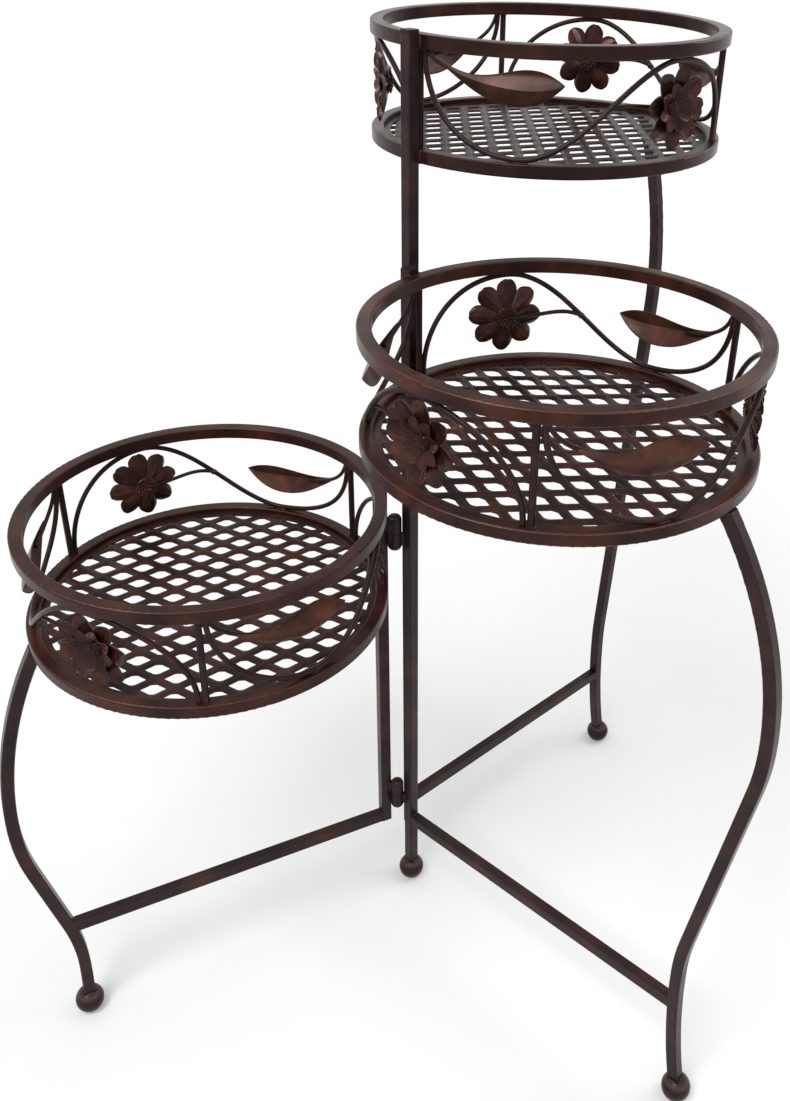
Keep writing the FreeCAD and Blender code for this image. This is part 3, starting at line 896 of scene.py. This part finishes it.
@dataclass
class Stems:
    """Bent wires that carry the flowers and leaves.

    Each point is a share of the motif, a height above the lower ring and a distance from
    the tray's axis, in millimetres. A leaf's stalk follows the leaf's lift by a share at each point,
    so that its end at the rod stays.
    """

    thickness: float = 3.2 * MM
    order: int = 4
    smoothness: int = 8
    roundness: int = 3
    flower_way: tuple[Triple, ...] = (
        (0.28, 35.0, 125.8), (0.33, 35.4, 126.0), (0.39, 37.6, 128.2),
        (0.44, 39.2, 131.0), (0.475, 38.2, 132.6), (0.503, 35.4, 133.4),
    )
    leaf_way: tuple[Triple, ...] = (
        (0.82, 40.6, 132.6), (0.865, 43.2, 133.2), (0.905, 47.2, 134.2),
        (0.945, 54.0, 134.6), (0.968, 61.5, 134.8), (0.978, 70.0, 135.0),
    )
    leaf_follow: tuple[float, ...] = (1.0, 1.0, 0.95, 0.7, 0.35, 0.0)

    def raised(self, lift: float) -> tuple[Triple, ...]:
        """Points of the stalk of a leaf that is lifted.

        Args:
            lift: How far the leaf is lifted.

        Returns:
            The points.
        """
        return tuple((share, height + part * lift / MM, radius)
                     for part, (share, height, radius) in zip(self.leaf_follow, self.leaf_way))

    def wire(self, name: str, way: tuple[Triple, ...]) -> bpy.types.Object:
        """Bends one wire in the tray's frame and makes it a mesh.

        Args:
            name: Name of the wire.
            way: Its points.

        Returns:
            The wire.
        """
        curve = start_from(bpy.ops.curve.primitive_nurbs_path_add, name).data
        curve.splines.clear()
        spline = curve.splines.new("NURBS")
        spline.points.add(len(way) - 1)
        for point, (share, height, radius) in zip(spline.points, way):
            spot = turned(-MOTIF_ANGLE * share, "Z") @ Vector((radius * MM, 0, height * MM))
            point.co = (*spot, 1)
        spline.order_u = self.order
        spline.use_endpoint_u = True
        spline.resolution_u = self.smoothness
        curve.bevel_depth = self.thickness / 2
        curve.bevel_resolution = self.roundness
        curve.use_fill_caps = True
        bpy.ops.object.convert(target="MESH")
        return bpy.context.object

    def build(self, wings: tuple[Wing, ...], finish: bpy.types.Material) -> None:
        """Bends the wires and sets their copies in every tray.

        Args:
            wings: The wings of the stand.
            finish: Paint of the wire.
        """
        stem = self.wire("flower_stem", self.flower_way)
        for wing in wings:
            copies = []
            for index, lift in enumerate(wing.leaf_lifts()):
                stalk = self.wire("leaf_stalk", self.raised(lift))
                copies += [copy_to(pattern, wing.motif(index)) for pattern in (stem, stalk)]
                discard(stalk)
            hand_over(wing, "bent_stems", copies, finish, Slot.WIRE, "stems")
        discard(stem)


@dataclass
class LatticeFloor:
    """Stamped floor of a tray: a sheet with rows of diamond holes whose edges are pressed down.

    The lattice is cut round out of a larger stamped sheet, so the holes at its edge are cut too,
    and a plain band lies over the cut. A bar's slope is gentle for a share of its width and then steep,
    and what lies lower than a share of the press is punched out.
    """

    radius: float = 129.9 * MM
    border: float = 5 * MM
    lap: float = 1 * MM
    band_lift: float = 0.25 * MM
    edge_cuts: int = 96
    pitch: float = 19 * MM
    hole: float = 11.5 * MM
    angle: float = 72.0
    drop: float = 4 * MM
    sheet: float = 1.1 * MM
    press: float = 1.0 * MM
    gentle_width: float = 0.45
    gentle_press: float = 0.18
    open_from: float = 0.9
    narrow_corner: float = 2.4 * MM
    wide_corner: float = 4.8 * MM
    corner_segments: int = 4

    def cells(self, wing: Wing) -> bpy.types.Object:
        """Lays the diamond cells of one floor, past its edge on every side.

        Args:
            wing: The wing of the tray.

        Returns:
            The sheet of cells, flat, in edit mode.
        """
        count = 2 * int(self.radius / self.pitch) + 3
        sheet = start_from(bpy.ops.mesh.primitive_grid_add, f"{wing.name}_lattice",
                           x_subdivisions=count, y_subdivisions=count, size=count * self.pitch)
        open_all()
        turn_flat(-45)
        spread = math.radians(self.angle / 2)
        resize(math.sqrt(2) * math.cos(spread), math.sqrt(2) * math.sin(spread), 1)
        turn_flat(wing.lattice_turn)
        reach = self.radius + self.pitch
        cut_faces(sheet, lambda face: face.calc_center_median().length > reach)
        return sheet

    def corners(self, sheet: bpy.types.Object, turn: float) -> tuple[set[Triple], set[Triple]]:
        """Places of the holes' corners on the selected faces.

        Args:
            sheet: The pressed sheet in edit mode.
            turn: Turn of the lattice, in degrees.

        Returns:
            The narrow corners, which lie along the lattice, and the wide ones, which lie across it.
        """
        along = turned(turn, "Z") @ Vector((1, 0, 0))
        across = turned(turn, "Z") @ Vector((0, 1, 0))
        narrow, wide = set(), set()
        for face in bmesh.from_edit_mesh(sheet.data).faces:
            if face.select:
                middle = face.calc_center_median()
                for vert in face.verts:
                    off = vert.co - middle
                    end = narrow if abs(off.dot(along)) > abs(off.dot(across)) else wide
                    end.add(spot_of(vert))
        return narrow, wide

    def stamp(self, sheet: bpy.types.Object, turn: float) -> None:
        """Presses the cells down towards their holes, rounds the holes and opens them.

        Args:
            sheet: The sheet of cells in edit mode.
            turn: Turn of the lattice, in degrees.
        """
        rib = (self.pitch - self.hole) / 2 * math.sin(math.radians(self.angle))
        bpy.ops.mesh.select_all(action="SELECT")
        for width, press in ((self.gentle_width, self.gentle_press),
                             (1 - self.gentle_width, 1 - self.gentle_press)):
            bpy.ops.mesh.inset(thickness=width * rib, depth=-press * self.press, use_individual=True)
        narrow, wide = self.corners(sheet, turn)
        bpy.ops.mesh.select_mode(type="VERT")
        for spots, radius in ((narrow, self.narrow_corner), (wide, self.wide_corner)):
            pick(sheet, lambda vert: spot_of(vert) in spots)
            bpy.ops.mesh.bevel(offset=radius, segments=self.corner_segments, affect="VERTICES")
        low = -self.open_from * self.press
        cut_faces(sheet, lambda face: all(v.co.z < low for v in face.verts))

    def trim(self, sheet: bpy.types.Object) -> None:
        """Cuts the stamped sheet round, cut by cut, and lays the band over its edge.

        Args:
            sheet: The stamped sheet in edit mode.
        """
        edge = self.radius - self.border + self.lap
        for number in range(self.edge_cuts):
            out = turned(360 * number / self.edge_cuts, "Z") @ Vector((1, 0, 0))
            bpy.ops.mesh.select_all(action="SELECT")
            bpy.ops.mesh.bisect(plane_co=out * edge, plane_no=out, clear_outer=True)
        bpy.ops.mesh.select_mode(type="EDGE")
        bpy.ops.mesh.select_all(action="DESELECT")
        bpy.ops.mesh.primitive_circle_add(
            vertices=self.edge_cuts, radius=self.radius, location=(0, 0, self.band_lift))
        bpy.ops.mesh.extrude_region()
        inward = 1 - self.border / self.radius
        resize(inward, inward, 1)
        close_edit()

    def build(self, wings: tuple[Wing, ...], finish: bpy.types.Material) -> None:
        """Models the floor of every tray.

        Args:
            wings: The wings of the stand.
            finish: Paint of the lattice.
        """
        for wing in wings:
            sheet = self.cells(wing)
            self.stamp(sheet, wing.lattice_turn)
            self.trim(sheet)
            finish_with(sheet, "SOLIDIFY", thickness=self.sheet, offset=-1.0)
            settle(sheet, wing.tray() @ shifted(0, 0, -self.drop))
            hand_over(wing, "lattice_floor", [sheet], finish, Slot.LATTICE, "floor")


def spot_of(vert: bmesh.types.BMVert) -> Triple:
    """Place of a vertex to the nearest thousandth of a millimetre."""
    return tuple(round(part / MM, 3) for part in vert.co)


@dataclass
class Welds:
    """Weld beads of a wing: small uneven lumps where tubes, rods and wires meet the rings and feet.

    A bead's three sizes are in millimetres. How far it sits beyond a tube's face, or inside a bar's end,
    is in metres.
    """

    ring_bead: Triple = (3.4, 3.0, 10.5)
    ring_bead_out: float = 0.2 * MM
    ring_bead_side: float = 5.2 * MM
    bar_bead: Triple = (2.6, 2.4, 9.0)
    bar_bead_out: float = 0.3 * MM
    bar_bead_in: float = 0.5 * MM
    rod_bead: Triple = (6.8, 6.8, 2.6)
    vine_bead: Triple = (4.6, 2.2, 13.0)
    stem_bead: Triple = (4.8, 5.6, 5.2)
    stem_bead_in: float = 1.0 * MM
    stem_bead_rise: float = 0.505
    foot_bead: Triple = (2.8, 9.5, 2.8)
    foot_bead_out: float = 0.3 * MM
    foot_bead_rise: float = 11.2 * MM
    ball_middle: float = 11.5 * MM
    ripples: tuple[float, ...] = (-0.3, -0.1, 0.1, 0.3)
    ripple_reach: float = 0.06
    ripple_depth: float = 0.10

    def lump(self) -> bpy.types.Object:
        """Models one lump, one metre across: a ball with ripples pressed into it.

        Returns:
            The lump.
        """
        lump = start_from(bpy.ops.mesh.primitive_uv_sphere_add, "weld_lump",
                          segments=14, ring_count=10, radius=0.5)
        bpy.ops.object.mode_set(mode="EDIT")
        bpy.ops.mesh.select_mode(type="VERT")
        for number, height in enumerate(self.ripples):
            pick(lump, lambda vert: abs(vert.co.z - height) < self.ripple_reach)
            swell = 1 + self.ripple_depth * (-1) ** number
            resize(swell, swell, 1)
        close_edit()
        return lump

    def frame_beads(self, wing: Wing) -> list[Bead]:
        """Beads where the wing's tubes meet its rings and each other.

        Args:
            wing: The wing.

        Returns:
            Pairs of a frame and the bead's sizes.
        """
        under = wing.tray_top - TRAY_HEIGHT
        beads = []
        for height in (wing.tray_top - TUBE / 2, under + TUBE / 2):
            for side in (-1, 1):
                at = shifted(TUBE / 2 + self.ring_bead_out, side * self.ring_bead_side, height)
                beads.append((at, self.ring_bead))
        for along in (TUBE / 2 + self.bar_bead_out, wing.bar_end() - self.bar_bead_in):
            for side in (1, -1):
                at = shifted(along, 0, BAR_MIDDLE + side * TUBE / 2) @ turned(90, "X")
                beads.append((at, self.bar_bead))
        for side in (-1, 1):
            at = shifted(TRAY_REACH + RING_MIDDLE, side * TUBE / 2, under) @ turned(90, "Y")
            beads.append((at, self.bar_bead))
        return [(wing.place() @ at, sizes) for at, sizes in beads]

    def wall_beads(self, wing: Wing) -> list[Bead]:
        """Beads of the rods, vines and stems in the wing's tray.

        Args:
            wing: The wing.

        Returns:
            Pairs of a frame and the bead's sizes.
        """
        lower_end = shifted(RING_MIDDLE, 0, 0)
        upper_end = shifted(RING_MIDDLE, 0, WALL_OPEN)
        stem_end = shifted(RING_MIDDLE - self.stem_bead_in, 0, WALL_OPEN * self.stem_bead_rise)
        beads = []
        for index in range(MOTIFS):
            beads += [(wing.motif(index) @ at, self.rod_bead) for at in (lower_end, upper_end)]
            for share, at in ((VINE_CREST, upper_end), (VINE_FOOT, lower_end)):
                beads.append((wing.motif(index, share) @ at @ turned(90, "X"), self.vine_bead))
            beads.append((wing.motif(index, 0.5) @ stem_end, self.stem_bead))
        return beads

    def foot_beads(self, wing: Wing, node: str, lean: float) -> list[Bead]:
        """Beads on the four sides of a tube where it enters its ball foot.

        Args:
            wing: The wing.
            node: Node of the foot.
            lean: How far the tube leans back to its upright there, in degrees.

        Returns:
            Pairs of a frame and the bead's sizes.
        """
        low, high = (Vector(corner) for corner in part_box(node))
        ball = (low + high) / 2
        tube = shifted(ball.x, ball.y, self.ball_middle) @ turned(wing.direction, "Z") @ turned(-lean, "Y")
        out = shifted(TUBE / 2 + self.foot_bead_out, 0, self.foot_bead_rise)
        return [(tube @ turned(90 * quarter, "Z") @ out, self.foot_bead) for quarter in range(4)]

    def beads(self, wing: Wing) -> list[Bead]:
        """All the wing's beads, with those of an upright's foot where the upright stands on one.

        Args:
            wing: The wing.

        Returns:
            Pairs of a frame and the bead's sizes.
        """
        beads = self.frame_beads(wing) + self.wall_beads(wing)
        for foot, lean in ((f"{wing.name}_leg_foot", wing.foot_lean), (f"{wing.name}_upright_foot", 0.0)):
            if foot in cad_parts:
                beads += self.foot_beads(wing, foot, lean)
        return beads

    def build(self, wings: tuple[Wing, ...], finish: bpy.types.Material) -> None:
        """Models one lump and sets its copies at every weld.

        Args:
            wings: The wings of the stand.
            finish: Paint of the tube.
        """
        lump = self.lump()
        for wing in wings:
            copies = [copy_to(lump, place @ Matrix.Diagonal((*(size * MM for size in sizes), 1)))
                      for place, sizes in self.beads(wing)]
            hand_over(wing, "weld_beads", copies, finish, Slot.FRAME)
        discard(lump)


@dataclass
class SteelFrame:
    """The tubes, rings, rods, vines, hinges and plugs, which keep the frame's own shape."""

    tube: bpy.types.Material
    finishes: dict[str, bpy.types.Material]

    def build(self) -> None:
        """Gives every node of the frame the finish that the end of its name calls for."""
        for name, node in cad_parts.items():
            named = [finish for word, finish in self.finishes.items() if name.endswith(word)]
            dress(node, named[0] if named else self.tube)
        LOG.info("steel frame: %d nodes", len(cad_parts))


def seen_rays(tree: bpy.types.NodeTree) -> bpy.types.NodeSocket:
    """Adds the share that is one for what the eye, a reflection or glass shows.

    Args:
        tree: Node tree of the material or world.

    Returns:
        The socket with that share.
    """
    path = add_node(tree, "ShaderNodeLightPath", {})
    eye = add_node(tree, "ShaderNodeMath", {
        0: path.outputs["Is Camera Ray"], 1: path.outputs["Is Glossy Ray"]}, operation="MAXIMUM")
    return add_node(tree, "ShaderNodeMath", {
        0: eye.outputs[0], 1: path.outputs["Is Transmission Ray"]}, operation="MAXIMUM").outputs[0]


@dataclass(frozen=True)
class Softbox:
    """Soft square lamp: its place and side in metres, its power in watts."""

    name: str
    at: Triple
    size: float
    power: float

    def hang(self, target: Triple) -> None:
        """Hangs the lamp.

        Args:
            target: What it looks at.
        """
        lamp = bpy.data.lights.new(self.name, "AREA")
        lamp.size = self.size
        lamp.energy = self.power
        obj = bpy.data.objects.new(self.name, lamp)
        bpy.context.scene.collection.objects.link(obj)
        aim = (Vector(target) - Vector(self.at)).to_track_quat("-Z", "Y")
        obj.matrix_world = shifted(*self.at) @ aim.to_matrix().to_4x4()


@dataclass
class Studio:
    """Pale floor, soft light and the camera, whose angles are in degrees and whose lens is in pixels."""

    eye: Triple = (-0.0021, -0.8097, 0.9308)
    pan: float = 4.24
    pitch: float = 28.1
    roll: float = 1.81
    focal_px: float = 1090.3
    centre_px: Pair = (479.3, 457.1)
    picture_px: tuple[int, int] = (790, 1101)
    sensor_mm: float = 36.0
    view_end: float = 100.0
    white: str = "#ffffff"
    sky: float = 0.6
    floor_shade: str = "#f2f2f2"
    floor_radius: float = 20.0
    floor_roughness: float = 0.95
    floor_specular: float = 0.1
    near_lift: float = 0.12
    far_lift: float = 0.46
    lift_reach: Pair = (0.5, 3.0)
    target: Triple = (0.0, 0.0, 0.45)
    lamps: tuple[Softbox, ...] = (
        Softbox("key_lamp", at=(-0.9, -1.3, 2.5), size=1.1, power=36),
        Softbox("fill_lamp", at=(1.7, 0.4, 2.2), size=1.4, power=16),
    )

    def camera(self) -> None:
        """Sets the camera at the picture's viewing angle."""
        lens = bpy.data.cameras.new("view")
        camera = bpy.data.objects.new("view", lens)
        bpy.context.scene.collection.objects.link(camera)
        pan, pitch, roll = (math.radians(angle) for angle in (self.pan, self.pitch, self.roll))
        ahead = Vector((math.sin(pan) * math.cos(pitch), math.cos(pan) * math.cos(pitch), -math.sin(pitch)))
        right = Vector((math.cos(pan), -math.sin(pan), 0))
        up = right.cross(ahead)
        side = right * math.cos(roll) + up * math.sin(roll)
        top = up * math.cos(roll) - right * math.sin(roll)
        turn = Matrix((side, top, -ahead)).transposed().to_4x4()
        camera.matrix_world = shifted(*self.eye) @ turn
        long_side = max(self.picture_px)
        lens.sensor_width = self.sensor_mm
        lens.lens = self.focal_px * self.sensor_mm / long_side
        lens.shift_x = (self.picture_px[0] / 2 - self.centre_px[0]) / long_side
        lens.shift_y = (self.centre_px[1] - self.picture_px[1] / 2) / long_side
        lens.clip_end = self.view_end
        bpy.context.scene.camera = camera

    def floor(self) -> None:
        """Lays the floor, rounded off far away."""
        floor = start_from(bpy.ops.mesh.primitive_circle_add, "studio_floor",
                           vertices=64, radius=self.floor_radius, fill_type="NGON")
        dress(floor, self.paper())

    def paper(self) -> bpy.types.Material:
        """Matt white paper that takes the stand's shadow, and to the eye stays as bright far from the lamps.

        Returns:
            The floor's material.
        """
        paper = bpy.data.materials.new("matt_paper_floor")
        paper.use_nodes = True
        tree = paper.node_tree
        tree.nodes.clear()
        place = add_node(tree, "ShaderNodeTexCoord", {})
        away = add_node(tree, "ShaderNodeVectorMath", {0: place.outputs["Object"]}, operation="LENGTH")
        glow = add_node(tree, "ShaderNodeMapRange", {
            "Value": away.outputs["Value"], "From Min": self.lift_reach[0], "From Max": self.lift_reach[1],
            "To Min": self.near_lift, "To Max": self.far_lift})
        lift = add_node(tree, "ShaderNodeMath", {
            0: seen_rays(tree), 1: glow.outputs["Result"]}, operation="MULTIPLY")
        shader = add_node(tree, "ShaderNodeBsdfPrincipled", {
            "Base Color": linear(self.floor_shade), "Roughness": self.floor_roughness,
            "Specular IOR Level": self.floor_specular,
            "Emission Color": linear(self.white), "Emission Strength": lift.outputs[0]})
        add_node(tree, "ShaderNodeOutputMaterial", {"Surface": shader.outputs["BSDF"]})
        return paper

    def sky_light(self) -> None:
        """Lights all round: white to the eye and in reflections, softer as light."""
        world = bpy.data.worlds.new("white_studio")
        bpy.context.scene.world = world
        world.use_nodes = True
        tree = world.node_tree
        tree.nodes.clear()
        level = add_node(tree, "ShaderNodeMapRange", {
            "Value": seen_rays(tree), "To Min": self.sky, "To Max": 1.0})
        sky = add_node(tree, "ShaderNodeBackground", {
            "Color": linear(self.white), "Strength": level.outputs["Result"]})
        add_node(tree, "ShaderNodeOutputWorld", {"Surface": sky.outputs["Background"]})

    def build(self) -> None:
        """Builds the studio and sets how the picture shows its colours."""
        self.floor()
        self.sky_light()
        for lamp in self.lamps:
            lamp.hang(self.target)
        self.camera()
        bpy.context.scene.view_settings.view_transform = "Standard"


def main() -> None:
    """Builds the stand's looks in order."""
    logging.basicConfig(level=logging.INFO, format="%(name)s %(message)s")
    tube = TUBE_PAINT.material()
    wire = WIRE_PAINT.material()
    leaf = LEAF_PAINT.material()
    flower = FLOWER_PAINT.material()
    lattice = LATTICE_PAINT.material()
    # Darker copy of the ring paint for the upper tray: painted shade.
    shaded_upper_ring = RING_PAINT.in_painted_shade(UPPER_PAINTED_SHADE).material()
    finishes = {
        "plug": PLUG_PLASTIC.material(), "pins": PIN_STEEL.material(),
        "upper_top_ring": shaded_upper_ring, "upper_bottom_ring": shaded_upper_ring, "ring": RING_PAINT.material(),
        "vines": wire, "rods": wire, "stems": wire, "petals": flower, "hearts": flower,
        "leaves": leaf, "floor": lattice,
    }
    SteelFrame(tube, finishes).build()
    Flowers().build(WINGS, flower)
    # The upper tray's leaves and lattice take darker copies of their paints: painted shade.
    Leaves().build(WINGS[:1], LEAF_PAINT.in_painted_shade(UPPER_PAINTED_SHADE).material())
    Leaves().build(WINGS[1:], leaf)
    Stems().build(WINGS, wire)
    LatticeFloor().build(WINGS[:1], LATTICE_PAINT.in_painted_shade(UPPER_PAINTED_SHADE).material())
    LatticeFloor().build(WINGS[1:], lattice)
    Welds().build(WINGS, tube)
    Studio().build()


if __name__ == "__main__":
    main()
